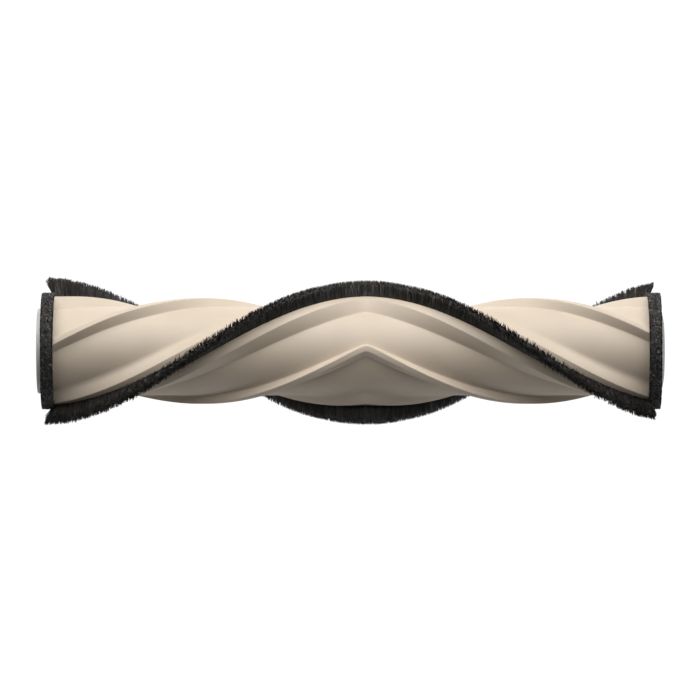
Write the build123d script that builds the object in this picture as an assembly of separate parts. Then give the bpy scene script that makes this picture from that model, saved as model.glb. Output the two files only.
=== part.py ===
from build123d import *
import os
from math import cos, degrees, radians, sin, sqrt

# Brush roll of a vacuum cleaner's floor head. The roll lies along X with its drive end at -X,
# its bearing end at +X and its origin on the spin axis, halfway along. The front is -Y and up is +Z.
# A stiff core tube carries a soft skin with two fins and two bristle strips. All four run as
# helices that turn back at one plane, the apex, so that they form a chevron.
# Sizes are in millimetres and degrees.

# Lengths along the roll
OVERALL_LENGTH = 180.0
DRIVE_DISC_THICKNESS = 1.3
CAP_CROWN_HEIGHT = 1.1
RING_WIDTH = 3.5
APEX_OFFSET = 4.4

# Chevron: angles are measured from the front, upwards
HELIX_LEAD = 180.0
STRIP_ANGLE = 93.0
FIN_FROM_STRIP = 92.4
TWO_SIDES = (0.0, 180.0)

# Clearance between pieces that are assembled into each other, and how near counts as touching
FIT = 0.05
NEAR = 0.01

# Core tube and soft skin
CORE_RADIUS = 10.4
CORE_WALL = 1.8
SKIN_THICKNESS = 2.35
POINT_FOOT_FILLET = 1.2
OPEN_FOOT_FILLET = 0.5
EDGE_FILLET = 0.3

# Fin: steep towards the chevron's point, sloped towards its open side
FIN_HEIGHT = 2.45
FIN_TIP_WIDTH = 1.6
FIN_STEEP_RUN = 0.6
FIN_SLOPED_RUN = 1.75

# Lip that carries a bristle strip: its land and its ramp on either side of the strip
LIP_HEIGHT = 2.95
LAND_POINT_SIDE = 3.4
LAND_OPEN_SIDE = 4.5
RAMP_POINT_SIDE = 2.4
RAMP_OPEN_SIDE = 3.1

# Bristle strip: a T-shaped backing in a slot of the lip, and the pile that stands on it
SLOT_FLOOR_THICKNESS = 1.1
BACKING_FLANGE_THICKNESS = 1.0
BACKING_FLANGE_WIDTH = 4.4
BACKING_NECK_WIDTH = 2.6
PILE_SEAT_DEPTH = 1.0
BRISTLE_LENGTH = 5.1
PILE_TIP_WIDTH = 4.0
PILE_LEAN = 0.95
PILE_DROP_POINT_SIDE = 2.4
PILE_DROP_OPEN_SIDE = 1.0

# End flange: a channel with two cheeks, which holds a ring of short pile on a backing band
FLANGE_BASE = 2.6
CHEEK_HEIGHT = 1.5
CHEEK_THICKNESS = 0.5
BAND_THICKNESS = 0.6
RING_PILE_LENGTH = 3.15
RING_EDGE_CHAMFER = 0.3

# Drive hub: a disc that overlaps the flange, a plug with two keys, and a hexagonal socket
CAP_OVERLAP = 1.8
CAP_EDGE_FILLET = 0.4
HUB_PLUG_LENGTH = 16.0
KEY_WIDTH = 2.4
KEY_HEIGHT = 0.8
SOCKET_ACROSS_FLATS = 9.0
SOCKET_DEPTH = 12.0

# Bearing cap: a crowned cap with a flat land round the ball bearing that its plug holds
CAP_PLUG_LENGTH = 9.0
CAP_RIM_THICKNESS = 0.15
CAP_SHOULDER_WIDTH = 1.1
CAP_LAND_WIDTH = 1.0

# Ball bearing, 5 x 11 x 5
BEARING_BORE_RADIUS = 2.5
BEARING_OUTER_RADIUS = 5.5
BEARING_WIDTH = 5.0
BEARING_INSET = 0.8
BALL_COUNT = 8
BALL_RADIUS = 0.8
RACE_GAP = 1.3
GROOVE_CLEARANCE = 0.1
CAGE_WALL = 0.6
CAGE_WIDTH = 2.4
CAGE_POCKET_CLEARANCE = 0.06
SHIELD_THICKNESS = 0.3
SHIELD_INSET = 0.2
SHIELD_SEAT_DEPTH = 0.25
SHIELD_GAP = 0.3

# Radii that follow from the sizes above
CORE_BORE_RADIUS = CORE_RADIUS - CORE_WALL
SKIN_RADIUS = CORE_RADIUS + SKIN_THICKNESS
FIN_RADIUS = SKIN_RADIUS + FIN_HEIGHT
LIP_RADIUS = SKIN_RADIUS + LIP_HEIGHT
BRISTLE_RADIUS = LIP_RADIUS + BRISTLE_LENGTH
SLOT_FLOOR_RADIUS = CORE_RADIUS + SLOT_FLOOR_THICKNESS
PILE_ROOT_RADIUS = LIP_RADIUS - PILE_SEAT_DEPTH
CHANNEL_RADIUS = CORE_RADIUS + FLANGE_BASE
CHEEK_RADIUS = CHANNEL_RADIUS + CHEEK_HEIGHT
BAND_RADIUS = CHANNEL_RADIUS + BAND_THICKNESS
RING_RADIUS = BAND_RADIUS + RING_PILE_LENGTH
CAP_RADIUS = CORE_RADIUS + CAP_OVERLAP
PLUG_RADIUS = CORE_BORE_RADIUS - FIT
POCKET_RADIUS = BEARING_OUTER_RADIUS + FIT
SHOULDER_RADIUS = BEARING_OUTER_RADIUS - CAP_SHOULDER_WIDTH
BALL_PITCH_RADIUS = (BEARING_BORE_RADIUS + BEARING_OUTER_RADIUS) / 2
INNER_RACE_RADIUS = BALL_PITCH_RADIUS - RACE_GAP / 2
OUTER_RACE_RADIUS = BALL_PITCH_RADIUS + RACE_GAP / 2

# Places along the roll that follow from the lengths above
DRIVE_FACE = -OVERALL_LENGTH / 2
BEARING_FACE = OVERALL_LENGTH / 2
DRIVE_RING_FACE = DRIVE_FACE + DRIVE_DISC_THICKNESS
BEARING_RING_FACE = BEARING_FACE - CAP_CROWN_HEIGHT
SKIN_START = DRIVE_RING_FACE + RING_WIDTH
SKIN_END = BEARING_RING_FACE - RING_WIDTH
APEX = APEX_OFFSET
BEARING_OUT = BEARING_FACE - BEARING_INSET
BEARING_IN = BEARING_OUT - BEARING_WIDTH
BEARING_MIDDLE = (BEARING_OUT + BEARING_IN) / 2

# The cross-section is drawn in a plane at the apex whose x is the front and whose y is up
SECTION_PLANE = Plane(origin=(APEX, 0, 0), x_dir=(0, -1, 0), z_dir=(-1, 0, 0))
APEX_MIRROR = Plane(origin=(APEX, 0, 0), z_dir=(1, 0, 0))


def polar(radius, angle):
    """A point of the cross-section at a radius and an angle."""
    return (radius * cos(radians(angle)), radius * sin(radians(angle)))


def arc_angle(width, radius):
    """The angle that a width along the circle takes up at a radius."""
    return degrees(width / radius)


def outline(points):
    """A closed face through points, joined by straight lines."""
    return make_face(Polyline(*points, close=True))


def turned(points):
    """A solid of revolution about the roll's axis, from a closed outline of (along, radius) points."""
    return revolve(outline(points), Axis.X)


def ring(start, end, inner, outer):
    """A plain ring about the roll's axis."""
    return turned([(start, inner), (end, inner), (end, outer), (start, outer)])


def twisted_half(section, run):
    """Carry a section from the apex towards the drive end, turning it one circle in each lead."""
    turn = -360.0 * run / HELIX_LEAD
    face = (SECTION_PLANE * section).faces()[0]
    return Solid.extrude_linear_with_rotation(face, (APEX, 0, 0), (-run, 0, 0), turn)


def chevron(section):
    """Carry a section both ways from the apex, to the two ends of the skin."""
    drive_half = twisted_half(section, APEX - SKIN_START)
    bearing_half = mirror(twisted_half(section, SKIN_END - APEX), about=APEX_MIRROR)
    return drive_half + bearing_half


def body_section():
    """The skin's outer section, without its slots: two lips and two fins on a round body."""
    land_point = arc_angle(LAND_POINT_SIDE, LIP_RADIUS)
    land_open = arc_angle(LAND_OPEN_SIDE, LIP_RADIUS)
    foot_point = land_point + arc_angle(RAMP_POINT_SIDE, SKIN_RADIUS)
    foot_open = land_open + arc_angle(RAMP_OPEN_SIDE, SKIN_RADIUS)
    half_tip = arc_angle(FIN_TIP_WIDTH, FIN_RADIUS) / 2
    fin_open = FIN_FROM_STRIP - half_tip
    fin_point = FIN_FROM_STRIP + half_tip
    fin_foot_open = fin_open - arc_angle(FIN_SLOPED_RUN, SKIN_RADIUS)
    fin_foot_point = fin_point + arc_angle(FIN_STEEP_RUN, SKIN_RADIUS)
    next_foot = 180.0 - foot_open
    next_land = 180.0 - land_open
    edges = []
    for side in TWO_SIDES:
        start = STRIP_ANGLE + side
        stops = [
            (LIP_RADIUS, -land_open, land_point),
            (SKIN_RADIUS, foot_point, fin_foot_open),
            (FIN_RADIUS, fin_open, fin_point),
            (SKIN_RADIUS, fin_foot_point, next_foot),
        ]
        for radius, first, last in stops:
            edges.append(CenterArc((0, 0), radius, start + first, last - first))
        corners = [
            ((LIP_RADIUS, land_point), (SKIN_RADIUS, foot_point)),
            ((SKIN_RADIUS, fin_foot_open), (FIN_RADIUS, fin_open)),
            ((FIN_RADIUS, fin_point), (SKIN_RADIUS, fin_foot_point)),
            ((SKIN_RADIUS, next_foot), (LIP_RADIUS, next_land)),
        ]
        for (r1, a1), (r2, a2) in corners:
            edges.append(Line(polar(r1, start + a1), polar(r2, start + a2)))
    section = make_face(edges)
    section = fillet(feet_of(section, [foot_point, fin_foot_point]), POINT_FOOT_FILLET)
    section = fillet(feet_of(section, [fin_foot_open, next_foot]), OPEN_FOOT_FILLET)
    return fillet(section.vertices().filter_by(is_edge_of_land), EDGE_FILLET)


def feet_of(section, angles):
    """The corners where fins or lips rise from the round body, at angles from either strip."""
    feet = []
    for side in TWO_SIDES:
        for angle in angles:
            place = polar(SKIN_RADIUS, STRIP_ANGLE + side + angle)
            feet.append(section.vertices().sort_by_distance(place)[0])
    return feet


def is_edge_of_land(corner):
    """True for a corner on the tip of a fin or at the edge of a lip's land."""
    radius = sqrt(corner.X**2 + corner.Y**2)
    return min(abs(radius - FIN_RADIUS), abs(radius - LIP_RADIUS)) < NEAR


def tee(clearance, top):
    """The T outline of a strip's backing, grown by a clearance, with the radius along x."""
    flange = BACKING_FLANGE_WIDTH / 2 + clearance
    neck = BACKING_NECK_WIDTH / 2 + clearance
    floor = SLOT_FLOOR_RADIUS - clearance
    shoulder = SLOT_FLOOR_RADIUS + BACKING_FLANGE_THICKNESS + clearance
    half = [(floor, flange), (shoulder, flange), (shoulder, neck), (top, neck)]
    return outline(half + [(radius, -across) for radius, across in reversed(half)])


def at_strip(section):
    """Turn a section that is drawn along x to strip a's place at the apex."""
    return Rot(0, 0, STRIP_ANGLE) * section


def soft_skin():
    """The moulded skin: round body, two lips with a T slot each, two fins, and a bore for the core."""
    slot = at_strip(tee(FIT, BRISTLE_RADIUS))
    section = body_section()
    for side in TWO_SIDES:
        section -= Rot(0, 0, side) * slot
    return chevron(section) - ring(DRIVE_FACE, BEARING_FACE, 0, CORE_RADIUS)


def strip_backing():
    """The flexible T-shaped strip that slides into strip a's slot."""
    return chevron(at_strip(tee(0, PILE_ROOT_RADIUS - FIT)))


def bristle_strip():
    """The pile of strip a: upright between the lips, then splayed and leaning towards the point, with
    a round crown that falls further on the point side."""
    root = BACKING_NECK_WIDTH / 2
    splay = LIP_RADIUS + FIT
    crown_top = (sqrt(BRISTLE_RADIUS**2 - PILE_LEAN**2), PILE_LEAN)
    point_shoulder = (BRISTLE_RADIUS - PILE_DROP_POINT_SIDE, PILE_LEAN + PILE_TIP_WIDTH / 2)
    open_shoulder = (BRISTLE_RADIUS - PILE_DROP_OPEN_SIDE, PILE_LEAN - PILE_TIP_WIDTH / 2)
    walls = Polyline(
        point_shoulder,
        (splay, root),
        (PILE_ROOT_RADIUS, root),
        (PILE_ROOT_RADIUS, -root),
        (splay, -root),
        open_shoulder,
    )
    crown = ThreePointArc(point_shoulder, crown_top, open_shoulder)
    return chevron(at_strip(make_face([walls, crown])))


def second(strip):
    """The same piece on the opposite side of the roll."""
    return Rot(180, 0, 0) * strip


def key(extra, reach):
    """A pair of keys between the hub's plug and the core, grown by a clearance on every side."""
    length = HUB_PLUG_LENGTH + extra
    middle = DRIVE_RING_FACE + length / 2
    height = 2 * (PLUG_RADIUS + KEY_HEIGHT + reach)
    return Pos(middle, 0, 0) * Box(length, KEY_WIDTH + 2 * extra, height)


def core_tube():
    """The stiff tube inside the skin, with two keyways at the drive end."""
    tube = ring(DRIVE_RING_FACE, BEARING_RING_FACE, CORE_BORE_RADIUS, CORE_RADIUS - FIT)
    return tube - key(FIT, FIT)


def end_flange(face, inwards):
    """The channel that carries a pile ring. Its outer cheek lies at face, and inwards is +1 or -1."""
    back = face + inwards * RING_WIDTH
    cheek = inwards * CHEEK_THICKNESS
    return turned([
        (face, CORE_RADIUS + FIT),
        (face, CHEEK_RADIUS),
        (face + cheek, CHEEK_RADIUS),
        (face + cheek, CHANNEL_RADIUS),
        (back - cheek, CHANNEL_RADIUS),
        (back - cheek, CHEEK_RADIUS),
        (back, CHEEK_RADIUS),
        (back, CORE_RADIUS + FIT),
    ])


def ring_band(face, inwards):
    """The backing band of a pile ring, in the flange's channel."""
    edge = face + inwards * (CHEEK_THICKNESS + FIT)
    back = face + inwards * (RING_WIDTH - CHEEK_THICKNESS - FIT)
    return ring(edge, back, CHANNEL_RADIUS + FIT, BAND_RADIUS)


def pile_ring(face, inwards):
    """The short pile on a band: narrow between the cheeks, and as wide as the flange above them."""
    edge = face + inwards * (CHEEK_THICKNESS + FIT)
    back = face + inwards * (RING_WIDTH - CHEEK_THICKNESS - FIT)
    outer_edge = face
    outer_back = face + inwards * RING_WIDTH
    step = CHEEK_RADIUS + FIT
    shape = turned([
        (edge, BAND_RADIUS + FIT),
        (back, BAND_RADIUS + FIT),
        (back, step),
        (outer_back, step),
        (outer_back, RING_RADIUS),
        (outer_edge, RING_RADIUS),
        (outer_edge, step),
        (edge, step),
    ])
    rims = [e for e in shape.edges().filter_by(GeomType.CIRCLE) if e.radius > RING_RADIUS - NEAR]
    return chamfer(rims, RING_EDGE_CHAMFER)


def drive_hub():
    """The drive end: a disc over the flange, a keyed plug in the core, and a hexagonal socket."""
    disc = ring(DRIVE_FACE, DRIVE_RING_FACE, 0, CAP_RADIUS)
    rim = [e for e in disc.edges().filter_by(GeomType.CIRCLE) if e.center().X < DRIVE_FACE + NEAR]
    disc = fillet(rim, CAP_EDGE_FILLET)
    plug = ring(DRIVE_RING_FACE, DRIVE_RING_FACE + HUB_PLUG_LENGTH, 0, PLUG_RADIUS)
    mouth = Plane(origin=(DRIVE_FACE, 0, 0), x_dir=(0, -1, 0), z_dir=(-1, 0, 0))
    hexagon = RegularPolygon(SOCKET_ACROSS_FLATS / 2, 6, major_radius=False)
    socket = extrude(mouth * hexagon, -SOCKET_DEPTH)
    return disc + plug + key(0, 0) - socket


def bearing_cap():
    """The bearing end: a crowned cap over the flange, and a plug that holds the bearing."""
    rim = BEARING_RING_FACE + CAP_RIM_THICKNESS
    land = POCKET_RADIUS + CAP_LAND_WIDTH
    seat = BEARING_IN - FIT
    plug_end = BEARING_RING_FACE - CAP_PLUG_LENGTH
    crown = TangentArc((BEARING_FACE, land), (rim, CAP_RADIUS), tangent=(0, 1))
    walls = Polyline(
        (BEARING_FACE, land),
        (BEARING_FACE, POCKET_RADIUS),
        (seat, POCKET_RADIUS),
        (seat, SHOULDER_RADIUS),
        (plug_end, SHOULDER_RADIUS),
        (plug_end, PLUG_RADIUS),
        (BEARING_RING_FACE, PLUG_RADIUS),
        (BEARING_RING_FACE, CAP_RADIUS),
        (rim, CAP_RADIUS),
    )
    return revolve(make_face([crown, walls]), Axis.X)


def ball_groove():
    """The ring-shaped space that the balls run in, cut from both races."""
    circle = Pos(BEARING_MIDDLE, BALL_PITCH_RADIUS) * Circle(BALL_RADIUS + GROOVE_CLEARANCE)
    return revolve(circle, Axis.X)


def ball_places():
    """The ball centres, evenly spaced round the pitch circle."""
    for place in range(BALL_COUNT):
        turn = 360.0 * place / BALL_COUNT
        yield Rot(turn, 0, 0) * Pos(BEARING_MIDDLE, BALL_PITCH_RADIUS, 0)


def bearing_inner_race():
    """The race that sits still on the machine's pin."""
    return ring(BEARING_IN, BEARING_OUT, BEARING_BORE_RADIUS, INNER_RACE_RADIUS) - ball_groove()


def bearing_outer_race():
    """The race that turns with the roll, with a seat for a shield at each side."""
    race = ring(BEARING_IN, BEARING_OUT, OUTER_RACE_RADIUS, BEARING_OUTER_RADIUS) - ball_groove()
    for start, end in shield_places():
        race -= ring(start - FIT, end + FIT, 0, OUTER_RACE_RADIUS + SHIELD_SEAT_DEPTH)
    return race


def shield_places():
    """Where each shield starts and ends along the roll: the outer one first."""
    out = BEARING_OUT - SHIELD_INSET
    into = BEARING_IN + SHIELD_INSET
    return [(out - SHIELD_THICKNESS, out), (into, into + SHIELD_THICKNESS)]


def bearing_shield(place):
    """A thin steel disc in the outer race, clear of the inner race."""
    start, end = place
    return ring(start, end, INNER_RACE_RADIUS + SHIELD_GAP, OUTER_RACE_RADIUS + SHIELD_SEAT_DEPTH - FIT)


def bearing_cage():
    """The ring that spaces the balls, with a round pocket for each."""
    start = BEARING_MIDDLE - CAGE_WIDTH / 2
    end = BEARING_MIDDLE + CAGE_WIDTH / 2
    cage = ring(start, end, BALL_PITCH_RADIUS - CAGE_WALL / 2, BALL_PITCH_RADIUS + CAGE_WALL / 2)
    pocket = Rot(90, 0, 0) * Cylinder(BALL_RADIUS + CAGE_POCKET_CLEARANCE, 2 * RACE_GAP)
    for place in ball_places():
        cage -= place * pocket
    return cage


def bearing_balls():
    """The balls, as a group of separate solids."""
    return Compound(children=[place * Sphere(BALL_RADIUS) for place in ball_places()])


def main():
    os.makedirs("parts", exist_ok=True)
    backing = strip_backing()
    pile = bristle_strip()
    outer_shield, inner_shield = shield_places()
    pieces = {
        "core_tube": core_tube(),
        "soft_skin": soft_skin(),
        "strip_backing_a": backing,
        "strip_backing_b": second(backing),
        "bristle_strip_a": pile,
        "bristle_strip_b": second(pile),
        "end_flange_drive": end_flange(DRIVE_RING_FACE, 1),
        "end_flange_bearing": end_flange(BEARING_RING_FACE, -1),
        "ring_band_drive": ring_band(DRIVE_RING_FACE, 1),
        "ring_band_bearing": ring_band(BEARING_RING_FACE, -1),
        "pile_ring_drive": pile_ring(DRIVE_RING_FACE, 1),
        "pile_ring_bearing": pile_ring(BEARING_RING_FACE, -1),
        "drive_hub": drive_hub(),
        "bearing_cap": bearing_cap(),
        "bearing_outer_race": bearing_outer_race(),
        "bearing_inner_race": bearing_inner_race(),
        "bearing_cage": bearing_cage(),
        "bearing_balls": bearing_balls(),
        "bearing_shield_outer": bearing_shield(outer_shield),
        "bearing_shield_inner": bearing_shield(inner_shield),
    }
    for name, piece in pieces.items():
        export_step(piece, f"parts/{name}.step")
        print(name, "volume", round(piece.volume, 1))


main()
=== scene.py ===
# %% [markdown]
# A vacuum cleaner's brush roll
#
# This lesson dresses the brush roll that turns inside a vacuum cleaner's floor head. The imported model
# gives every piece at its true size and place: a stiff core, a soft skin with fins, two bristle strips,
# a pile ring at each end, a drive hub and a ball bearing. Here the skin, the bristles and the pile get
# surfaces of their own, and every other piece gets a finish. Lengths are in metres.

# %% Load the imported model
import math

import bmesh
import bpy
import numpy as np
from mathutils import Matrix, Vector
from mathutils.geometry import tessellate_polygon


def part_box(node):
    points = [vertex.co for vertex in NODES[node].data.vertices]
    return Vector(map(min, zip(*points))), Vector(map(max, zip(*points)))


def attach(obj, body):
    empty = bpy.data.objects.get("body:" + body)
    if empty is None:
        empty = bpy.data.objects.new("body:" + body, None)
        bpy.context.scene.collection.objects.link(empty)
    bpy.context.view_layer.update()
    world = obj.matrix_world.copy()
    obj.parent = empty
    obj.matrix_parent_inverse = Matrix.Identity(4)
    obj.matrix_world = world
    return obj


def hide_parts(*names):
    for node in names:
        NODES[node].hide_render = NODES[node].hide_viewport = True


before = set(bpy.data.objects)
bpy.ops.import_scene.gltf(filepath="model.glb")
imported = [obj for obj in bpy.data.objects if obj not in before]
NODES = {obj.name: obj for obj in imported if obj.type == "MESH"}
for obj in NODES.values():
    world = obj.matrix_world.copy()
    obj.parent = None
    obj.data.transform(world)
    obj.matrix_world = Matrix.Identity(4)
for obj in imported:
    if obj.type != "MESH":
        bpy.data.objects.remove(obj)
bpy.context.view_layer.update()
MM = 0.001

# %% [markdown]
# The camera
#
# The photograph looks straight at the roll, level with its axis, and shows no perspective: both end
# rings are straight upright bands. A long lens from far away gives that. The roll's axis lies one pixel
# below the middle of the picture, so the camera stands that much higher than the axis.

# %% Camera
PICTURE_WIDTH = 201.3 * MM
CAMERA_DISTANCE = 2.0
CAMERA_ASIDE = -0.226 * MM
CAMERA_UP = 0.29 * MM

lens = bpy.data.cameras.new("long_lens")
lens.lens = lens.sensor_width * CAMERA_DISTANCE / PICTURE_WIDTH
camera = bpy.data.objects.new("camera", lens)
camera.location = (CAMERA_ASIDE, -CAMERA_DISTANCE, CAMERA_UP)
camera.rotation_euler = (math.radians(90), 0, 0)
bpy.context.scene.collection.objects.link(camera)
bpy.context.scene.camera = camera
print("lens", round(lens.lens), "mm")

# %% [markdown]
# Shader sums
#
# A finish is a few noises added, scaled and mixed. Wiring each Math node by hand hides the idea, so one
# small class wraps a socket: writing 1 - mask or mask * 0.3 adds the Math node for it. Any other node
# comes from one method, which sets the node's settings first and then its sockets.


# %% Shader helper
class Wire:
    """An output socket. Sums on it add Math nodes, and add() adds any other node beside it."""

    # A Mix node uses the same socket names for numbers, vectors and colours, so colours go by number.
    MIX_FACTOR, MIX_FIRST, MIX_SECOND, MIX_RESULT = 0, 6, 7, 2

    def __init__(self, tree, socket):
        self.tree = tree
        self.socket = socket

    def add(self, kind, settings=None, sockets=None, output=0):
        """Add a node of a kind, set its settings, then link or set its sockets. Give one output."""
        node = self.tree.nodes.new(kind)
        for name, value in (settings or {}).items():
            if name == "stops":
                self.set_stops(node.color_ramp, value)
            else:
                setattr(node, name, value)
        for name, value in (sockets or {}).items():
            if isinstance(value, Wire):
                self.tree.links.new(value.socket, node.inputs[name])
            else:
                node.inputs[name].default_value = value
        return Wire(self.tree, node.outputs[output] if node.outputs else None)

    @staticmethod
    def set_stops(ramp, stops):
        """Give a colour ramp its (place, colour) stops. New ones start halfway and are then moved."""
        while len(ramp.elements) < len(stops):
            ramp.elements.new(0.5)
        for element, (place, colour) in zip(ramp.elements, stops):
            element.position = place
            element.color = colour

    def sum(self, operation, first, second):
        """A Math node on two numbers."""
        return self.add("ShaderNodeMath", {"operation": operation}, {0: first, 1: second})

    def __add__(self, other):
        return self.sum("ADD", self, other)

    __radd__ = __add__

    def __sub__(self, other):
        return self.sum("SUBTRACT", self, other)

    def __rsub__(self, other):
        return self.sum("SUBTRACT", other, self)

    def __mul__(self, other):
        return self.sum("MULTIPLY", self, other)

    __rmul__ = __mul__

    def noise(self, scale, detail=3.0):
        """A noise over these coordinates, from 0 to 1."""
        settings = {"noise_dimensions": "3D"}
        return self.add("ShaderNodeTexNoise", settings, {"Vector": self, "Scale": scale, "Detail": detail})

    def between(self, low, high):
        """0 below low, 1 above high, and a straight rise between them."""
        sockets = {"Value": self, "From Min": low, "From Max": high}
        return self.add("ShaderNodeMapRange", {"clamp": True}, sockets)

    def mix(self, first, second):
        """Colour first where this is 0, colour second where it is 1."""
        settings = {"data_type": "RGBA", "clamp_factor": True}
        sockets = {self.MIX_FACTOR: self, self.MIX_FIRST: first, self.MIX_SECOND: second}
        return self.add("ShaderNodeMix", settings, sockets, self.MIX_RESULT)

    def bump(self, depth):
        """A normal from this height, which is depth metres from 0 to 1."""
        return self.add("ShaderNodeBump", None, {"Strength": 1.0, "Distance": depth, "Height": self})


print("one class writes the shader sums:", Wire.__name__)


# %% Start and end of a finish
def rgba(red, green, blue):
    """A colour that isn't see-through."""
    return (red, green, blue, 1.0)


def start_finish(name):
    """A new material without nodes, and its Object coordinates."""
    material = bpy.data.materials.new(name)
    material.use_nodes = True
    material.node_tree.nodes.clear()
    place = Wire(material.node_tree, None)
    return material, place.add("ShaderNodeTexCoord", None, None, "Object")


def end_finish(material, place, sockets):
    """Close a material with one Principled shader."""
    shader = place.add("ShaderNodeBsdfPrincipled", None, sockets)
    place.add("ShaderNodeOutputMaterial", None, {"Surface": shader})
    return material


finishes = {}
print("finishes so far", len(finishes))

# %% [markdown]
# Studio light
#
# The roll is brightest where it faces up, still bright where it faces the eye, and its underside is about
# a quarter as bright. Four long softboxes that lie along the roll give that: a wide one overhead, a weaker
# one in front, one behind, and one below that stands for light from the table. The world adds a weak even
# fill, gives the glossy black filaments a brighter studio to mirror, and shows the eye plain white.

# %% Light
LIGHT_DISTANCE = 0.9
LIGHT_LENGTH = 1.6
SOFTBOXES = {
    "top_softbox": {"power": 12.0, "elevation": 71, "width": 0.75},
    "front_softbox": {"power": 4.2, "elevation": 32, "width": 0.5},
    "back_softbox": {"power": 3.2, "elevation": 140, "width": 0.5},
    "table_bounce": {"power": 2.5, "elevation": -108, "width": 0.5},
}
FILL_BRIGHTNESS = 0.08
MIRRORED_BRIGHTNESS = 0.5
WHITE_BRIGHTNESS = 1.05


def softbox(name, power, elevation, width):
    """A long area light that faces the roll from an elevation, in degrees up from the front."""
    light = bpy.data.lights.new(name, "AREA")
    light.shape = "RECTANGLE"
    light.size = LIGHT_LENGTH
    light.size_y = width
    light.energy = power
    angle = math.radians(elevation)
    lamp = bpy.data.objects.new(name, light)
    lamp.location = LIGHT_DISTANCE * Vector((0, -math.cos(angle), math.sin(angle)))
    lamp.rotation_euler = (math.pi / 2 - angle, 0, 0)
    bpy.context.scene.collection.objects.link(lamp)


def white_studio():
    """A world that shows the eye white, mirrors as light grey, and gives every other ray a weak fill."""
    world = bpy.data.worlds.new("white_studio")
    world.use_nodes = True
    world.node_tree.nodes.clear()
    sky = Wire(world.node_tree, None)
    seen = sky.add("ShaderNodeLightPath", None, None, "Is Camera Ray")
    mirrored = sky.add("ShaderNodeLightPath", None, None, "Is Glossy Ray")
    strength = FILL_BRIGHTNESS + seen * (WHITE_BRIGHTNESS - FILL_BRIGHTNESS)
    strength = strength + mirrored * (MIRRORED_BRIGHTNESS - FILL_BRIGHTNESS)
    glow = sky.add("ShaderNodeBackground", None, {"Color": rgba(1, 1, 1), "Strength": strength})
    sky.add("ShaderNodeOutputWorld", None, {"Surface": glow})
    return world


for name, values in SOFTBOXES.items():
    softbox(name, **values)
bpy.context.scene.world = white_studio()
bpy.context.scene.view_settings.view_transform = "Standard"
print("softboxes", list(SOFTBOXES))

# %% [markdown]
# Finishes of the moulded pieces
#
# The skin is a soft elastomer in a warm beige, moulded against a fine satin tool. It shows slow changes
# of tone, a faint grain and a soft gloss. The end pieces are hard plastic: light grey for the hub and the
# cap, black for the flanges. A plain colour would look like a computer picture, so each finish has a slow
# tone noise in its colour, a finer one in its roughness, and a shallow grain in its normal.

# %% Moulded finishes
TONE_SCALE = 90.0
TONE_SPAN = (0.3, 0.7)
GLOSS_SCALE = 900.0
GLOSS_CHANGE = 0.16
MOULDED = {
    "beige_elastomer": {
        "colour": (0.6, 0.508, 0.402), "change": 0.03, "roughness": 0.52,
        "grain_scale": 2600.0, "grain_depth": 0.01 * MM, "specular": 0.4,
    },
    "light_grey_plastic": {
        "colour": (0.59, 0.59, 0.585), "change": 0.06, "roughness": 0.4,
        "grain_scale": 3200.0, "grain_depth": 0.01 * MM,
    },
    "black_plastic": {
        "colour": (0.021, 0.021, 0.022), "change": 0.25, "roughness": 0.5,
        "grain_scale": 3000.0, "grain_depth": 0.012 * MM,
    },
    "core_plastic": {
        "colour": (0.16, 0.16, 0.17), "change": 0.12, "roughness": 0.5,
        "grain_scale": 3000.0, "grain_depth": 0.01 * MM,
    },
    "natural_nylon": {
        "colour": (0.46, 0.38, 0.25), "change": 0.09, "roughness": 0.4,
        "grain_scale": 3000.0, "grain_depth": 0.006 * MM,
    },
}


def moulded(name, colour, change, roughness, grain_scale, grain_depth, specular=0.5):
    """A moulded plastic: a colour that changes slowly by a share either way, and a fine grain."""
    material, place = start_finish(name)
    dark = rgba(*(value * (1 - change) for value in colour))
    light = rgba(*(value * (1 + change) for value in colour))
    slow = place.noise(TONE_SCALE, 2.0).between(*TONE_SPAN)
    fine = place.noise(GLOSS_SCALE, 4.0)
    grain = place.noise(grain_scale, 2.0)
    return end_finish(material, place, {
        "Base Color": slow.mix(dark, light),
        "Roughness": roughness + (fine - 0.5) * GLOSS_CHANGE,
        "Normal": grain.bump(grain_depth),
        "Specular IOR Level": specular,
    })


for name, values in MOULDED.items():
    finishes[name] = moulded(name, **values)
print("moulded finishes", list(MOULDED))

# %% [markdown]
# Steel of the bearing
#
# Bearing rings are ground, so fine lines run round them. The lines follow the distance from the axis and
# the place along it, which Object coordinates give. The balls are polished and only lightly marked.

# %% Steel finishes
LINE_SCALE = 1400.0
LINE_BEND = 3.0
LINE_ROUGHNESS = 0.12
CLOUD_SCALE = 700.0
CLOUD_SHARE = (0.9, 0.9, 0.91)
STEELS = {
    "ground_steel": {"tone": 0.62, "roughness": 0.24, "line_depth": 0.004 * MM},
    "stamped_steel": {"tone": 0.5, "roughness": 0.36, "line_depth": 0.002 * MM},
    "polished_steel": {"tone": 0.7, "roughness": 0.12, "line_depth": 0.001 * MM},
}


def steel(name, tone, roughness, line_depth):
    """Ground steel: fine rings about the roll's axis, from a wave over the distance to the axis."""
    material, place = start_finish(name)
    settings = {"wave_type": "RINGS", "rings_direction": "X", "wave_profile": "SIN"}
    sockets = {"Vector": place, "Scale": LINE_SCALE, "Distortion": LINE_BEND, "Detail": 3.0}
    lines = place.add("ShaderNodeTexWave", settings, sockets, "Fac")
    clouded = rgba(*(tone * share for share in CLOUD_SHARE))
    return end_finish(material, place, {
        "Base Color": place.noise(CLOUD_SCALE).mix(clouded, rgba(tone, tone, tone)),
        "Metallic": 1.0,
        "Roughness": roughness + lines * LINE_ROUGHNESS,
        "Normal": lines.bump(line_depth),
    })


for name, values in STEELS.items():
    finishes[name] = steel(name, **values)
print("steel finishes", list(STEELS))

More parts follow.
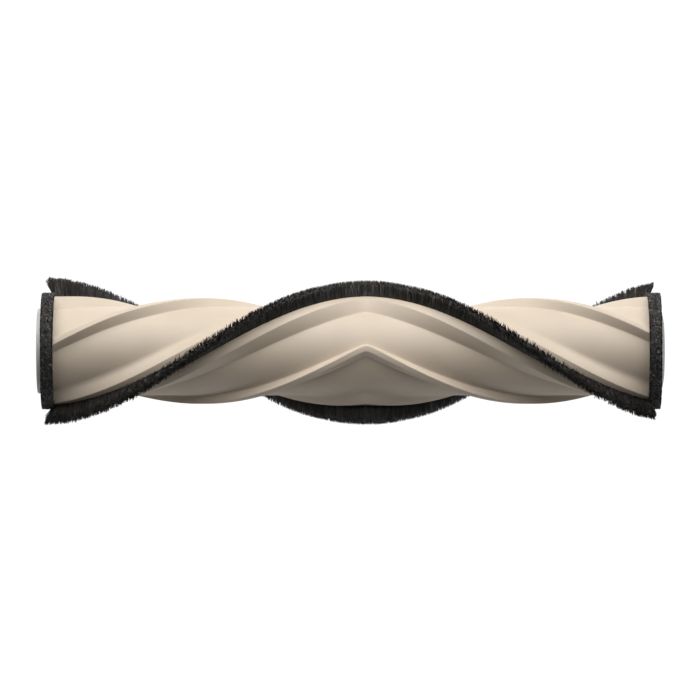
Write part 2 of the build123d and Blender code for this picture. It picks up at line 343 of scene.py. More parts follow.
# %% [markdown]
# Finish of the bristles and the pile
#
# Nylon filaments look black in the mass, but close to, some are brown or grey. Each filament is given a tone
# when it is made, and the finish reads it as an attribute: mostly black, then brown, and a few that are
# nearly grey. The tone is also made lower at each filament's root and higher at its tip: painted shade deep
# in the mass and a painted highlight where the cut tips catch the light.

# %% Filament finishes
FILAMENT_GLOSS_SCALE = 500.0
FILAMENT_GLOSS_CHANGE = 0.2
FILAMENT_SPECULAR = 0.35
FILAMENTS = {
    "black_bristle": {
        "roughness": 0.5,
        "stops": [
            (0.0, rgba(0.0125, 0.0118, 0.011)),
            (0.4, rgba(0.028, 0.025, 0.0215)),
            (0.75, rgba(0.07, 0.056, 0.04)),
            (1.0, rgba(0.22, 0.18, 0.135)),
        ],
    },
    "black_pile": {
        "roughness": 0.65,
        "stops": [
            (0.0, rgba(0.005, 0.0046, 0.0044)),
            (0.4, rgba(0.03, 0.027, 0.0245)),
            (0.8, rgba(0.2, 0.175, 0.16)),
            (1.0, rgba(0.42, 0.38, 0.35)),
        ],
    },
}


def filament(name, roughness, stops):
    """Filaments coloured by their tone attribute, which holds their own tone and painted root shade, with a
    slow change of gloss.
    """
    material, place = start_finish(name)
    tone = place.add("ShaderNodeAttribute", {"attribute_name": "tone"}, None, "Fac")
    gloss = place.noise(FILAMENT_GLOSS_SCALE) - 0.5
    return end_finish(material, place, {
        "Base Color": tone.add("ShaderNodeValToRGB", {"stops": stops}, {"Fac": tone}),
        "Roughness": roughness + gloss * FILAMENT_GLOSS_CHANGE,
        "Specular IOR Level": FILAMENT_SPECULAR,
    })


for name, values in FILAMENTS.items():
    finishes[name] = filament(name, **values)
print("filament finishes", list(FILAMENTS))

# %% [markdown]
# From arrays to a mesh
#
# Every new piece is worked out as arrays of points and triangles, so one helper turns them into an object
# that rides on the roller. A piece of many filaments also brings a map for baking, in which each filament
# has a cell of its own.


# %% Mesh helper
def smooth_mesh(name, points, triangles):
    """A smooth mesh from arrays of points and triangles, with its faces outwards."""
    mesh = bpy.data.meshes.new(name)
    mesh.vertices.add(len(points))
    mesh.vertices.foreach_set("co", points.astype(np.float32).ravel())
    mesh.loops.add(triangles.size)
    mesh.loops.foreach_set("vertex_index", triangles.astype(np.int32).ravel())
    mesh.polygons.add(len(triangles))
    mesh.polygons.foreach_set("loop_start", np.arange(0, triangles.size, 3, dtype=np.int32))
    mesh.update(calc_edges=True)
    mesh.validate()
    work = bmesh.new()
    work.from_mesh(mesh)
    bmesh.ops.recalc_face_normals(work, faces=work.faces)
    work.to_mesh(mesh)
    work.free()
    mesh.polygons.foreach_set("use_smooth", np.ones(len(mesh.polygons), dtype=bool))
    return mesh


def new_piece(name, points, triangles, finish, tone=None, bake_map=None):
    """An object on the roller body, with a tone and a place on the bake map for each point if given."""
    mesh = smooth_mesh(name, points, triangles)
    if tone is not None:
        mesh.attributes.new("tone", "FLOAT", "POINT").data.foreach_set("value", tone.astype(np.float32))
    if bake_map is not None:
        corner = np.zeros(len(mesh.loops), dtype=np.int32)
        mesh.loops.foreach_get("vertex_index", corner)
        layer = mesh.uv_layers.new(name="OFBake", do_init=False)
        layer.uv.foreach_set("vector", bake_map[corner].astype(np.float32).ravel())
    mesh.materials.append(finish)
    piece = bpy.data.objects.new(name, mesh)
    bpy.context.scene.collection.objects.link(piece)
    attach(piece, "roller")
    print(name, len(mesh.polygons), "triangles")
    return piece


print("new pieces ride on the roller")


# %% Grid of triangles
def grid_triangles(rows, columns, closed_rows=False):
    """Triangles of a grid of points whose columns close round, and whose rows may too."""
    last = rows if closed_rows else rows - 1
    row, column = np.meshgrid(np.arange(last), np.arange(columns), indexing="ij")
    down = (row + 1) % rows
    across = (column + 1) % columns
    a, b = row * columns + column, row * columns + across
    c, d = down * columns + across, down * columns + column
    return np.stack([a, b, c, a, c, d], axis=-1).reshape(-1, 3)


print("a tube of 2 rings of 3 points has", len(grid_triangles(2, 3)), "triangles")

# %% [markdown]
# The chevron
#
# Fins and strips run round the roll as helices. At the apex, a little towards the bearing end, they turn
# back, which makes the chevron. So a whole piece is one cross-section that slides along the axis and
# turns by an angle that falls evenly on both sides of the apex. The cross-section is written as complex
# numbers, front as the real part and up as the imaginary one, because turning is then one product.

# %% Chevron
TURN_LENGTH = 180.0 * MM
APEX = 4.4 * MM
APEX_ROUNDING = 1.0 * MM
STRIP_ANGLE = math.radians(93)
SKIN_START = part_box("soft_skin")[0].x
SKIN_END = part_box("soft_skin")[1].x


def chevron_turn(along):
    """The angle of strip a: STRIP_ANGLE - 2 pi sqrt(d^2 + APEX_ROUNDING^2) / TURN_LENGTH, where d is
    the distance from the apex, so the helices run straight and meet in a small bend."""
    return STRIP_ANGLE - 2 * np.pi * np.hypot(along - APEX, APEX_ROUNDING) / TURN_LENGTH


def in_frame(along, section):
    """Points of the roll from a place along the axis and a complex section point."""
    along, section = np.broadcast_arrays(along, section)
    return np.stack([along, -section.real, section.imag], axis=-1)


def stations(spacing):
    """Places along the skin, evenly spaced, with one exactly at the apex."""
    left = np.linspace(SKIN_START, APEX, int(np.ceil((APEX - SKIN_START) / spacing)) + 1)
    right = np.linspace(APEX, SKIN_END, int(np.ceil((SKIN_END - APEX) / spacing)) + 1)
    return np.concatenate([left, right[1:]])


print("skin from", round(SKIN_START, 4), "to", round(SKIN_END, 4))

# %% [markdown]
# The soft skin
#
# The skin has two raised lips, which hold the bristle strips in T-shaped slots, and two fins, steep
# on the side of the chevron's point and sloped on the other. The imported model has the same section, but
# its flat facets would show in the satin gloss. So the section is drawn once, unrolled to arc length
# against radius, its corners are rounded as a mould's are, and it is carried along the chevron in fine
# steps. On the side of the point the feet and the fins' edges are soft. The other edges are crisp.

# %% Rounded corners
BEND_POINTS = 7


def rounded(line, reach):
    """A line of complex corners with each inner corner c bent: (1-t)^2 a + 2t(1-t) c + t^2 b, where a
    and b lie on the line at a reach before and after c."""
    corner = line[1:-1]
    before, after = line[:-2] - corner, line[2:] - corner
    a = corner + reach * before / np.abs(before)
    b = corner + reach * after / np.abs(after)
    t = np.linspace(0, 1, BEND_POINTS)
    bend = np.outer(a, (1 - t)**2) + np.outer(corner, 2 * t * (1 - t)) + np.outer(b, t**2)
    return np.concatenate([line[:1], bend.ravel(), line[-1:]])


def divided(line, step):
    """The same line with points added, so that none are further apart than a step."""
    span = np.diff(line)
    pieces = np.maximum(1, np.ceil(np.abs(span) / step)).astype(int)
    place = np.arange(pieces.sum()) - np.repeat(np.cumsum(pieces) - pieces, pieces)
    points = np.repeat(line[:-1], pieces) + np.repeat(span / pieces, pieces) * place
    return np.append(points, line[-1])


print("a line with one bent corner has", len(rounded(np.array([0, 1, 1 + 1j]), 0.1)), "points")

# %% Skin section
SKIN_RADIUS = 12.75 * MM
FIN_RADIUS = 15.2 * MM
LIP_RADIUS = 15.7 * MM
LAND = {"point": 3.4 * MM, "open": 4.5 * MM}
RAMP = {"point": 2.4 * MM, "open": 3.1 * MM}
FIN_ANGLE = math.radians(91.8)
FIN_TIP_WIDTH = 1.8 * MM
FIN_STEEP_RUN = 0.35 * MM
FIN_SLOPED_RUN = 1.75 * MM
SOFT_FOOT = 1.2 * MM
FIN_FOOT = 0.5 * MM
CRISP_FOOT = 0.3 * MM
CRISP_EDGE = 0.16 * MM
FIN_EDGE = 0.3 * MM
SLOT_NECK = 1.35 * MM
SLOT_FLANGE = 2.25 * MM
SLOT_FLOOR = 11.45 * MM
SLOT_SHOULDER = 12.55 * MM
SECTION_STEP = 0.8 * MM


def half_outline():
    """Half the section, from one slot's edge round to the next, unrolled as arc + i radius, bent at its
    corners, then rolled up: radius e^(i arc / SKIN_RADIUS). Each corner is angle, radius and bend."""
    land_point = LAND["point"] / LIP_RADIUS
    land_open = np.pi - LAND["open"] / LIP_RADIUS
    mouth = np.arcsin(SLOT_NECK / LIP_RADIUS)
    tip = FIN_TIP_WIDTH / FIN_RADIUS / 2
    corners = np.array([
        (mouth, LIP_RADIUS, 0),
        (land_point, LIP_RADIUS, CRISP_EDGE),
        (land_point + RAMP["point"] / SKIN_RADIUS, SKIN_RADIUS, SOFT_FOOT),
        (FIN_ANGLE - tip - FIN_SLOPED_RUN / SKIN_RADIUS, SKIN_RADIUS, CRISP_FOOT),
        (FIN_ANGLE - tip, FIN_RADIUS, CRISP_EDGE),
        (FIN_ANGLE + tip, FIN_RADIUS, FIN_EDGE),
        (FIN_ANGLE + tip + FIN_STEEP_RUN / SKIN_RADIUS, SKIN_RADIUS, FIN_FOOT),
        (land_open - RAMP["open"] / SKIN_RADIUS, SKIN_RADIUS, CRISP_FOOT),
        (land_open, LIP_RADIUS, CRISP_EDGE),
        (np.pi - mouth, LIP_RADIUS, 0),
    ])
    line = corners[:, 0] * SKIN_RADIUS + 1j * corners[:, 1]
    line = divided(rounded(line, corners[1:-1, 2]), SECTION_STEP)
    return line.imag * np.exp(1j * line.real / SKIN_RADIUS)


def slot_outline():
    """The T-shaped slot of the second strip, from its near edge to its far one."""
    radius = np.array([SLOT_SHOULDER, SLOT_SHOULDER, SLOT_FLOOR])
    near = radius - 1j * np.array([SLOT_NECK, SLOT_FLANGE, SLOT_FLANGE])
    return -np.concatenate([near, near.conj()[::-1]])


def skin_section():
    """The closed outer outline: two halves and two slots, the same after half a turn."""
    half = np.concatenate([half_outline(), slot_outline()])
    return np.concatenate([half, -half])


section = skin_section()
print("skin section has", len(section), "points")

# %% [markdown]
# The section carried along
#
# A screw modifier makes a helix but can't turn back at an apex. Here each place along the axis gets its
# own turned copy of the section, and a grid of triangles joins the copies. Towards the drive end the fins
# in the photograph stray a little from the helix, so these do too.

# %% Skin surface
CORE_RADIUS = 10.4 * MM
BORE_POINTS = 96
SKIN_STEP = 0.65 * MM
SHARP_ANGLE = math.radians(40)
FIN_DRIFT = math.radians(4.2)
FIN_DRIFT_REACH = (-72 * MM, -48 * MM)
FIN_DRIFT_SPAN = np.radians([14, 45])


def turned_section(along):
    """The section at each place along, turned with the chevron. Towards the drive end the fins also turn
    by FIN_DRIFT s^2 (3 - 2 s), where s rises from 0 to 1 over FIN_DRIFT_REACH. The valleys beside them
    are round, so they keep their shape while that turn fades out over FIN_DRIFT_SPAN."""
    first, last = FIN_DRIFT_REACH
    s = np.clip((last - along) / (last - first), 0, 1)
    beside = np.abs(np.angle(section) % np.pi - FIN_ANGLE)
    share = np.interp(beside, FIN_DRIFT_SPAN, [1.0, 0.0])
    drift = FIN_DRIFT * (s**2 * (3 - 2 * s))[:, None] * share
    return section * np.exp(1j * (chevron_turn(along)[:, None] + drift))


def cap_triangles(outer, inner):
    """Triangles that close an end between the outer outline and the bore."""
    loops = [np.stack([loop.real, loop.imag, 0 * loop.real], axis=-1).tolist() for loop in (outer, inner)]
    return np.array(tessellate_polygon(loops))


def skin_surface():
    """The section carried along the chevron, the bore as two circles, and a flat cap at each end."""
    along = stations(SKIN_STEP)
    outer = in_frame(along[:, None], turned_section(along))
    circle = CORE_RADIUS * np.exp(2j * np.pi * np.arange(BORE_POINTS) / BORE_POINTS)
    ends = np.array([SKIN_START, SKIN_END])
    bore = in_frame(ends[:, None], circle)
    points = np.concatenate([outer.reshape(-1, 3), bore.reshape(-1, 3)])
    first_bore = outer.shape[0] * outer.shape[1]
    triangles = [grid_triangles(*outer.shape[:2]), first_bore + grid_triangles(2, BORE_POINTS)]
    for end, row in ((0, 0), (1, len(along) - 1)):
        cap = cap_triangles(turned_section(ends)[end], circle)
        outer_index = row * len(section) + np.arange(len(section))
        bore_index = first_bore + end * BORE_POINTS + np.arange(BORE_POINTS)
        triangles.append(np.concatenate([outer_index, bore_index])[cap])
    return points, np.concatenate(triangles)


skin = new_piece("chevron_skin", *skin_surface(), finishes["beige_elastomer"])
skin.data.set_sharp_from_angle(angle=SHARP_ANGLE)
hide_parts("soft_skin")

# %% [markdown]
# Filaments
#
# A strip holds thousands of nylon filaments. Hair particles would need a conversion, and a texture would
# leave a smooth outline, so each filament is a slim three-sided spike: rings of three points along a
# bent centre line, ending in a point. All of them are worked out at once, as arrays.

# %% Filament arrays
SIDES = 3
TAPER = 0.55
TUFT_BLUR = 0.18


def spikes(root, tip, bow, thickness, levels):
    """Tapered spikes. A centre line is root + (tip - root) t + bow 4 t (1 - t), the radius falls as
    1 - TAPER t, and level 1 is a single point. Gives points, triangles and each point's t."""
    count = len(root)
    t = np.asarray(levels)[None, :, None]
    centre = root[:, None] + (tip - root)[:, None] * t + bow[:, None] * 4 * t * (1 - t)
    axis = tip - root
    axis /= np.linalg.norm(axis, axis=1, keepdims=True)
    side = np.cross(axis, [1.0, 0.0, 0.0])
    side /= np.linalg.norm(side, axis=1, keepdims=True)
    other = np.cross(axis, side)
    corner = np.arange(SIDES)
    turn = 2 * np.pi * corner / SIDES
    ring = np.cos(turn)[:, None] * side[:, None] + np.sin(turn)[:, None] * other[:, None]
    radius = thickness[:, None, None] / 2 * (1 - TAPER * t)
    rings = centre[:, :, None] + ring[:, None] * radius[..., None]
    points = np.concatenate([rings.reshape(count, -1, 3), tip[:, None]], axis=1)
    point = len(levels) * SIDES
    last = point - SIDES
    cone = np.stack([last + corner, last + (corner + 1) % SIDES, np.full(SIDES, point)], axis=1)
    one = np.concatenate([corner[None, [0, 2, 1]], grid_triangles(len(levels), SIDES), cone])
    triangles = (one[None] + np.arange(count)[:, None, None] * points.shape[1]).reshape(-1, 3)
    height = np.append(np.repeat(levels, SIDES), 1.0)
    return points.reshape(-1, 3), triangles, np.tile(height, count)


def tuft_of(along, across, size, rng):
    """The number of the tuft that each filament belongs to, on a grid with blurred edges."""
    blur = rng.normal(0, TUFT_BLUR, (2, len(along)))
    row = np.floor(along / size + blur[0]).astype(int)
    column = np.floor(across / size + blur[1]).astype(int)
    return np.unique(np.stack([row, column], axis=1), axis=0, return_inverse=True)[1].ravel()


def drawn_tones(tone, count, rng):
    """Random tones: a share of a beta distribution, in which most are low and a few are high."""
    return tone["share"] * rng.beta(*tone["spread"], count)


print("filaments have", SIDES, "sides and lose", TAPER, "of their thickness")

# %% [markdown]
# Bake map and joined pieces
#
# An automatic unwrap of so many spikes would be slow and leave each of them a speck. Here the map is known
# in advance: a cell for each spike, and a band along the foot of the map for the body beneath them.

# %% Bake map
BAND_HEIGHT = 0.1
BAND_ACROSS = (0.01, 0.99)
BAND_UP = (0.01, 0.08)
CELL_LEFT = 0.15
CELL_STEP = 0.35
CELL_FOOT = 0.1
CELL_HEIGHT = 0.8


def bake_cells(count, per_spike, height):
    """A map with one cell for each spike: its corners across, its height up, above the body's band."""
    across = int(np.ceil(np.sqrt(count)))
    cell = np.repeat(np.arange(count), per_spike)
    corner = np.tile(np.append(np.tile(np.arange(SIDES), (per_spike - 1) // SIDES), 1), count)
    u = (cell % across + CELL_LEFT + CELL_STEP * corner) / across
    v = BAND_HEIGHT + (1 - BAND_HEIGHT) * (cell // across + CELL_FOOT + CELL_HEIGHT * height) / across
    return np.stack([u, v], axis=1)


def bake_band(rows, columns):
    """A map of a grid of points, in the band at the foot of the bake map."""
    row, column = np.meshgrid(np.linspace(*BAND_ACROSS, rows), np.linspace(*BAND_UP, columns), indexing="ij")
    return np.stack([row, column], axis=-1).reshape(-1, 2)


def join_piece(name, node, slot, *parts):
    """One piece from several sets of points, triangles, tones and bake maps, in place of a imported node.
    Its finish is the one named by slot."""
    points, triangles, tone, cells = zip(*parts)
    first = np.cumsum([0] + [len(part) for part in points[:-1]])
    shifted = [part + start for part, start in zip(triangles, first)]
    piece = new_piece(name, np.concatenate(points), np.concatenate(shifted), finishes[slot],
                      np.concatenate(tone), np.concatenate(cells))
    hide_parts(node)


print("the body's band takes", BAND_HEIGHT, "of the bake map")

# %% [markdown]
# The bristle strips
#
# A strip is dense where it leaves the lip. Its filaments lean towards the chevron's point and open towards
# their tips, which gather in small tufts of uneven length. At both ends of the skin the last tufts fan out
# over the pile rings, as the photograph shows. Near the apex the tips are cut more evenly, and the first
# strip is cut a little shorter there than the second.

# %% Shape of a strip
PILE_ROOT = 14.75 * MM
BRISTLE_TIP = 20.75 * MM
ROOT_HALF_WIDTH = 1.2 * MM
TIP_HALF_WIDTH = 2.15 * MM
TIP_LEAN = 1.1 * MM
TIP_DROP = {"point": 2.4 * MM, "open": 1.0 * MM}
EVEN_REACH = (18 * MM, 34 * MM)
EVEN_SHARE = 0.1
TRIM_REACH = np.array([0, 12, 25, 45, 90]) * MM
STRIPS = {
    "bristles_a": {
        "node": "bristle_strip_a", "side": 0.0, "seed": 11, "trim": [-0.3, -0.9, -0.4, 0.3, 0.75],
        "fan_drive": 2.9 * MM, "fan_bearing": 2.0 * MM,
    },
    "bristles_b": {
        "node": "bristle_strip_b", "side": np.pi, "seed": 12, "trim": [0.5, 0.15, 0.8, 0.6, 0.75],
        "fan_drive": 2.2 * MM, "fan_bearing": 2.0 * MM,
    },
}


def tip_section(share, trim):
    """Where tips end, as radius + i across, for a share from -1 on the open side to 1 on the point's:
    BRISTLE_TIP + trim - drop share^2 + i (TIP_LEAN + TIP_HALF_WIDTH share)."""
    drop = np.where(share > 0, TIP_DROP["point"], TIP_DROP["open"])
    return BRISTLE_TIP + trim - drop * share**2 + 1j * (TIP_LEAN + TIP_HALF_WIDTH * share)


def trim_at(along, strip):
    """How much longer than BRISTLE_TIP a strip is cut, by the distance from the apex. Its trim is a list
    in millimetres, one for each place of TRIM_REACH."""
    return np.interp(np.abs(along - APEX), TRIM_REACH, strip["trim"]) * MM


def looseness(along):
    """How uneven the tips are: EVEN_SHARE near the apex, rising to 1 towards the ends."""
    return np.interp(np.abs(along - APEX), EVEN_REACH, [EVEN_SHARE, 1.0])


longest_trim = max(max(strip["trim"]) for strip in STRIPS.values())
print("strips stand out to", round(BRISTLE_TIP / MM + longest_trim, 2), "mm")

# %% [markdown]
# The body of a strip
#
# A real strip can't be seen through, which takes far more filaments than a model should carry. A solid body
# a little smaller than the strip stands for those inside, so only the outer ones have to be made. It is
# larger near the apex, where the tips are even, and smaller towards the ragged ends.

# %% Strip body
BODY_SHARE = {"even": 0.84, "loose": 0.72}
BODY_HALF_SHARE = 0.8
BODY_STEP = 0.6 * MM
BODY_POINTS = 9
BODY_UNEVEN = 0.075
BODY_SEED = 100
BODY_TONE = {"share": 0.6, "spread": (0.9, 2.8)}


def strip_body(strip):
    """The dense body of a strip: a smaller section carried along the chevron, with flat ends. Its crown
    is uneven in height and tone, as the ends of packed filaments are."""
    rng = np.random.default_rng(strip["seed"] + BODY_SEED)
    along = stations(BODY_STEP)
    foot = np.array([PILE_ROOT, LIP_RADIUS]) + 1j * ROOT_HALF_WIDTH
    across = np.linspace(BODY_HALF_SHARE, -BODY_HALF_SHARE, BODY_POINTS)
    tips = tip_section(across, trim_at(along, strip)[:, None]) - LIP_RADIUS
    share = np.interp(looseness(along), [EVEN_SHARE, 1.0], [BODY_SHARE["even"], BODY_SHARE["loose"]])
    crown = LIP_RADIUS + share[:, None] * tips * rng.normal(1, BODY_UNEVEN, tips.shape)
    feet = np.tile(foot, (len(along), 1))
    shape = np.concatenate([feet, crown, feet.conj()[:, ::-1]], axis=1)
    turned = shape * np.exp(1j * (chevron_turn(along) + strip["side"]))[:, None]
    points = in_frame(along[:, None], turned).reshape(-1, 3)
    size = shape.shape[1]
    rim = np.arange(1, size - 1)
    end = np.stack([0 * rim, rim, rim + 1], axis=1)
    triangles = np.concatenate([grid_triangles(len(along), size), end, (len(along) - 1) * size + end])
    return points, triangles, drawn_tones(BODY_TONE, len(points), rng), bake_band(len(along), size)


print("a strip's body has", len(stations(BODY_STEP)), "sections")

# %% [markdown]
# Roots and tips
#
# Filaments are set in tufts. Those of one tuft lean together and share a length and a tone, and that makes
# an outline ragged in clumps, not in single hairs. At the ends of the skin nothing holds the last tufts,
# so they fan out, and a few more filaments stand there to fill the fans.

# %% Roots and tips
BRISTLE_COUNT = 11800
END_CLEARANCE = 0.1 * MM
FAN_REACH = 4.0 * MM
FAN_SHARE = 0.08
FAN_BEND = 1.5
TUFT_PULL = 0.4
STRAY = {"tuft": 0.18 * MM, "own": 0.12 * MM}
WILD_SHARE = 0.12
WILD_STRAY = 3.0
SHORT = {"tuft": 0.3 * MM, "own": 0.28 * MM}
LONGEST = 0.18 * MM
TIP_RISE = 0.08 * MM


def root_places(rng):
    """Where filaments stand along the skin: evenly, with a share more in the fans at both ends."""
    low, high = SKIN_START + END_CLEARANCE, SKIN_END - END_CLEARANCE
    even = rng.uniform(low, high, BRISTLE_COUNT)
    near = FAN_REACH * rng.random(BRISTLE_COUNT)**2
    fan = np.where(rng.random(BRISTLE_COUNT) < 0.5, low + near, high - near)
    return np.where(rng.random(BRISTLE_COUNT) < FAN_SHARE, fan, even)


def bristle_tips(strip, along, share, tuft, rng):
    """Tips as a place along and a complex section point: pulled to their tuft's middle, strayed a
    little, cut uneven, and fanned out at the ends of the skin."""
    members = np.bincount(tuft)
    ideal = tip_section(share, trim_at(along, strip))
    own = np.stack([along, ideal.imag])
    middle = np.stack([np.bincount(tuft, row) / members for row in own])[:, tuft]
    loose = looseness(along)
    wild = np.where(rng.random(BRISTLE_COUNT) < WILD_SHARE, WILD_STRAY, 1.0)
    stray = rng.normal(0, STRAY["tuft"], (2, members.size))[:, tuft]
    stray = stray + rng.normal(0, STRAY["own"], (2, BRISTLE_COUNT)) * wild
    tip_along, tip_across = own + ((middle - own) * TUFT_PULL + stray) * loose
    short = np.abs(rng.normal(0, SHORT["tuft"], members.size))[tuft]
    short = short + np.abs(rng.normal(0, SHORT["own"], BRISTLE_COUNT)) - LONGEST
    near_drive = np.clip(1 - (along - SKIN_START) / FAN_REACH, 0, 1)
    near_bearing = np.clip(1 - (SKIN_END - along) / FAN_REACH, 0, 1)
    fan = strip["fan_bearing"] * near_bearing**FAN_BEND - strip["fan_drive"] * near_drive**FAN_BEND
    return tip_along + fan, ideal.real + TIP_RISE - short * loose + 1j * tip_across


print("a strip has", BRISTLE_COUNT, "filaments")

# %% Bristle strips
BRISTLE_THICKNESS = 0.22 * MM
BRISTLE_THICK_SPAN = (0.8, 1.2)
BRISTLE_LEVELS = [0.0, 0.5, 0.93]
BRISTLE_BOW = 0.1 * MM
FAN_BOW = 0.1
TUFT_SIZE = 0.5 * MM
TUFT_TONE = {"share": 0.95, "spread": (0.9, 2.8)}
OWN_TONE = {"share": 0.4, "spread": (0.6, 3.0)}
# The share of a filament's tone at its root: painted shade deep in the strip.
SHADED_ROOT_TONE = 0.75


def bristle_strip(name, strip):
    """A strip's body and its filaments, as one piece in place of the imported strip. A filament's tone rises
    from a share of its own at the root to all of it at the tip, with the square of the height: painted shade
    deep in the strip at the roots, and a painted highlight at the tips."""
    rng = np.random.default_rng(strip["seed"])
    along = root_places(rng)
    share = rng.uniform(-1, 1, BRISTLE_COUNT)
    tuft = tuft_of(along, share * TIP_HALF_WIDTH, TUFT_SIZE, rng)
    tip_along, tip_point = bristle_tips(strip, along, share, tuft, rng)
    turn = np.exp(1j * (chevron_turn(along) + strip["side"]))
    root = in_frame(along, (PILE_ROOT + 1j * share * ROOT_HALF_WIDTH) * turn)
    tip = in_frame(tip_along, tip_point * turn)
    bow = rng.normal(0, BRISTLE_BOW, (BRISTLE_COUNT, 3))
    bow[:, 0] += FAN_BOW * (along - tip_along)
    thick = BRISTLE_THICKNESS * rng.uniform(*BRISTLE_THICK_SPAN, BRISTLE_COUNT)
    points, triangles, height = spikes(root, tip, bow, thick, BRISTLE_LEVELS)
    per_spike = len(points) // BRISTLE_COUNT
    own_tone = drawn_tones(TUFT_TONE, tuft.max() + 1, rng)[tuft] + drawn_tones(OWN_TONE, BRISTLE_COUNT, rng)
    # Painted shade and highlight: each filament's tone is darker towards its root and lighter at its tip.
    tone = np.repeat(own_tone, per_spike) * (SHADED_ROOT_TONE + (1 - SHADED_ROOT_TONE) * height**2)
    filaments = (points, triangles, tone, bake_cells(BRISTLE_COUNT, per_spike, height))
    join_piece(name, strip["node"], "black_bristle", strip_body(strip), filaments)


for name, strip in STRIPS.items():
    bristle_strip(name, strip)

# %% [markdown]
# The pile rings
#
# Each end has a band of short dense pile that keeps hair out of the bearing. It is made as the strips
# are: a turned body that fills the flange's channel, and short fibres that stand out from it all round and
# cover its sides.

# %% Ring body
RING_INNER_RADIUS = 13.65 * MM
RING_STEP_RADIUS = 14.55 * MM
RING_CHANNEL_INSET = 0.55 * MM
RING_BODY_INSET = 0.25 * MM
RING_BODY_DROP = 0.3 * MM
RING_BEVEL = 0.12 * MM
RING_POINTS = 256
RING_FACE_POINTS = 7
RING_UNEVEN = 0.14 * MM
RING_BODY_SEED = 200
RING_BODY_TONE = {"share": 0.9, "spread": (0.5, 1.3)}


def ring_profile(low, high, outer):
    """The section of a ring's body as rows of place along and radius: narrow in the channel, wide above
    it, with a bevel at both edges of the face."""
    inner_low, inner_high = low + RING_CHANNEL_INSET, high - RING_CHANNEL_INSET
    left, right = low + RING_BODY_INSET, high - RING_BODY_INSET
    face = np.linspace(right - RING_BEVEL, left + RING_BEVEL, RING_FACE_POINTS)
    rising = np.array([
        (inner_low, RING_INNER_RADIUS), (inner_high, RING_INNER_RADIUS), (inner_high, RING_STEP_RADIUS),
        (right, RING_STEP_RADIUS), (right, outer - RING_BEVEL),
    ])
    falling = np.array([
        (left, outer - RING_BEVEL), (left, RING_STEP_RADIUS), (inner_low, RING_STEP_RADIUS),
    ])
    return np.concatenate([rising, np.stack([face, np.full(RING_FACE_POINTS, outer)], axis=1), falling])


def ring_body(low, high, radius, seed):
    """The dense body of a ring: its profile turned about the axis. Its face is uneven in height and
    tone, as the ends of packed fibres are."""
    rng = np.random.default_rng(seed + RING_BODY_SEED)
    outer = radius - RING_BODY_DROP
    profile = ring_profile(low, high, outer)
    angle = 2 * np.pi * np.arange(RING_POINTS) / RING_POINTS
    size = (RING_POINTS, len(profile))
    face = profile[:, 1] == outer
    out = profile[:, 1] + face * rng.normal(0, RING_UNEVEN, size)
    points = in_frame(profile[:, 0], out * np.exp(1j * angle)[:, None])
    tone = face * drawn_tones(RING_BODY_TONE, size, rng)
    return points.reshape(-1, 3), grid_triangles(*size, closed_rows=True), tone.ravel(), bake_band(*size)


print("a ring's body has", RING_POINTS, "sections")

# %% Pile rings
RINGS = {
    "pile_drive": {"node": "pile_ring_drive", "seed": 21},
    "pile_bearing": {"node": "pile_ring_bearing", "seed": 22},
}
FIBRE_COUNT = 11000
FIBRE_THICKNESS = 0.21 * MM
FIBRE_THICK_SPAN = (0.8, 1.25)
FIBRE_LEVELS = [0.0, 0.6]
FIBRE_ROOT_DEPTH = 0.6 * MM
FIBRE_SIDE_DEPTH = 1.9 * MM
FIBRE_DEPTH_SPAN = (0.35, 1.0)
FIBRE_SIDE_INSET = 0.08 * MM
FIBRE_SIDE_REACH = 0.05 * MM
FIBRE_RISE = 0.3 * MM
FIBRE_EDGE_DROP = 0.12 * MM
FIBRE_SHORT = {"tuft": 0.22 * MM, "own": 0.12 * MM}
FIBRE_SWAY = 0.012
FIBRE_STRAY = 0.1 * MM
FIBRE_BOW = 0.06 * MM
FIBRE_TUFT = 0.42 * MM
FIBRE_TUFT_TONE = {"share": 1.1, "spread": (0.5, 1.3)}
FIBRE_OWN_TONE = {"share": 0.25, "spread": (0.7, 2.2)}
# The share of a fibre's tone at its root: painted shade deep in the pile.
FIBRE_SHADED_ROOT_TONE = 0.3


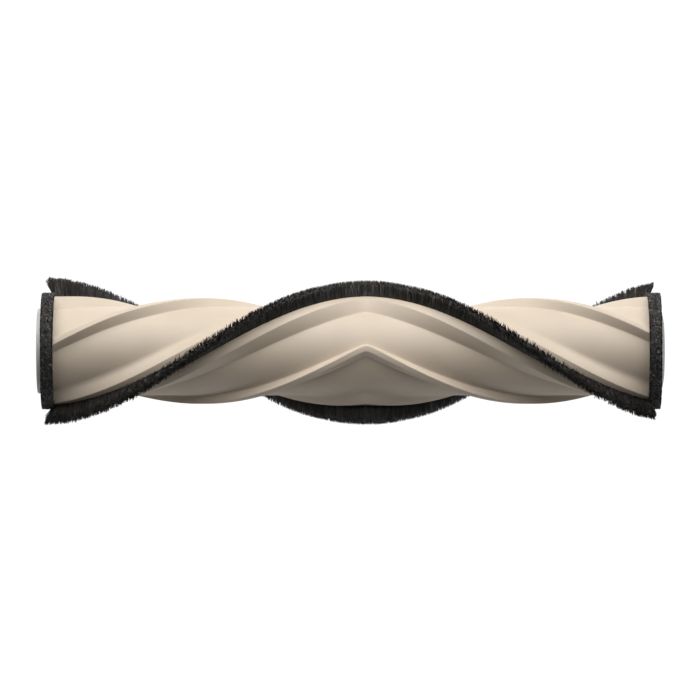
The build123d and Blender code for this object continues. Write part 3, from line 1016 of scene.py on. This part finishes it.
def ring_fibres(low, high, radius, seed):
    """The fibres of a ring. A fibre's share of the half width is sin(u pi / 2) for an even u from -1 to
    1, so more of them stand at the sides, and there they root deeper and are cut shorter."""
    rng = np.random.default_rng(seed)
    middle, half = (low + high) / 2, (high - low) / 2
    share = np.sin(rng.uniform(-np.pi / 2, np.pi / 2, FIBRE_COUNT))
    angle = rng.uniform(0, 2 * np.pi, FIBRE_COUNT)
    depth = FIBRE_SIDE_DEPTH * rng.uniform(*FIBRE_DEPTH_SPAN, FIBRE_COUNT) * np.abs(share)
    root_out = radius - depth - FIBRE_ROOT_DEPTH
    tuft = tuft_of(angle * radius, share * half, FIBRE_TUFT, rng)
    tufts = tuft.max() + 1
    short = np.abs(rng.normal(0, FIBRE_SHORT["tuft"], tufts))[tuft]
    short = short + np.abs(rng.normal(0, FIBRE_SHORT["own"], FIBRE_COUNT))
    tip_out = radius + FIBRE_RISE - short - FIBRE_EDGE_DROP * share**6
    root = in_frame(middle + share * (half - FIBRE_SIDE_INSET), root_out * np.exp(1j * angle))
    tip_angle = angle + rng.normal(0, FIBRE_SWAY, FIBRE_COUNT)
    stray = rng.normal(0, FIBRE_STRAY, FIBRE_COUNT)
    furthest = half + FIBRE_SIDE_REACH
    tip_along = middle + np.clip(share * half + stray, -furthest, furthest)
    tip = in_frame(tip_along, tip_out * np.exp(1j * tip_angle))
    bow = rng.normal(0, FIBRE_BOW, (FIBRE_COUNT, 3))
    thick = FIBRE_THICKNESS * rng.uniform(*FIBRE_THICK_SPAN, FIBRE_COUNT)
    points, triangles, height = spikes(root, tip, bow, thick, FIBRE_LEVELS)
    per_spike = len(points) // FIBRE_COUNT
    own_tone = drawn_tones(FIBRE_TUFT_TONE, tufts, rng)[tuft] + drawn_tones(FIBRE_OWN_TONE, FIBRE_COUNT, rng)
    # Painted shade and highlight: each fibre's tone is darker towards its root and lighter at its tip.
    tone = np.repeat(own_tone, per_spike) * (FIBRE_SHADED_ROOT_TONE + (1 - FIBRE_SHADED_ROOT_TONE) * height)
    return points, triangles, tone, bake_cells(FIBRE_COUNT, per_spike, height)


def pile_ring(name, node, seed):
    """A ring's body and its fibres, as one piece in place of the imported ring."""
    near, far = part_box(node)
    size = (near.x, far.x, far.z, seed)
    join_piece(name, node, "black_pile", ring_body(*size), ring_fibres(*size))


for name, values in RINGS.items():
    pile_ring(name, **values)

# %% [markdown]
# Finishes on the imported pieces
#
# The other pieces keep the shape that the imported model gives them, and only take a finish.

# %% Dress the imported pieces
PACKED_FINISHES = {
    "light_grey_plastic": ["drive_hub", "bearing_cap"],
    "black_plastic": ["end_flange_drive", "end_flange_bearing", "strip_backing_a", "strip_backing_b",
                      "ring_band_drive", "ring_band_bearing"],
    "core_plastic": ["core_tube"],
    "natural_nylon": ["bearing_cage"],
    "ground_steel": ["bearing_outer_race", "bearing_inner_race"],
    "stamped_steel": ["bearing_shield_outer", "bearing_shield_inner"],
    "polished_steel": ["bearing_balls"],
}
for finish, names in PACKED_FINISHES.items():
    for name in names:
        NODES[name].data.materials.clear()
        NODES[name].data.materials.append(finishes[finish])
print("finished", sum(len(names) for names in PACKED_FINISHES.values()), "packed pieces")

# %% [markdown]
# The floor
#
# A wide pale floor closes the studio. It is a stage, not a part of the roll. A weak glow keeps it pale
# where no lamp reaches. It sends no light up, because the softbox below already stands for that light.

# %% Floor
FLOOR_DROP = 0.35
FLOOR_HALF_WIDTH = 2.2
FLOOR_GLOW = 0.75
FLOOR_CLOUD_SCALE = 3.0
FLOOR_TONES = [rgba(0.77, 0.77, 0.76), rgba(0.81, 0.81, 0.8)]


def pale_floor():
    """A matt floor with a faint cloud of tone and an even glow."""
    material, place = start_finish("pale_floor")
    return end_finish(material, place, {
        "Base Color": place.noise(FLOOR_CLOUD_SCALE, 2.0).mix(*FLOOR_TONES),
        "Roughness": 0.8,
        "Emission Color": rgba(1.0, 1.0, 1.0),
        "Emission Strength": FLOOR_GLOW,
    })


square = FLOOR_HALF_WIDTH * np.array([(-1, -1, 0), (1, -1, 0), (1, 1, 0), (-1, 1, 0)])
floor_mesh = bpy.data.meshes.new("floor")
floor_mesh.from_pydata((square - [0, 0, FLOOR_DROP]).tolist(), [], [(0, 1, 2, 3)])
floor_mesh.materials.append(pale_floor())
floor = bpy.data.objects.new("floor", floor_mesh)
bpy.context.scene.collection.objects.link(floor)
floor.visible_diffuse = False
floor.visible_glossy = False
floor.visible_shadow = False
print("floor", FLOOR_DROP, "below the axis")
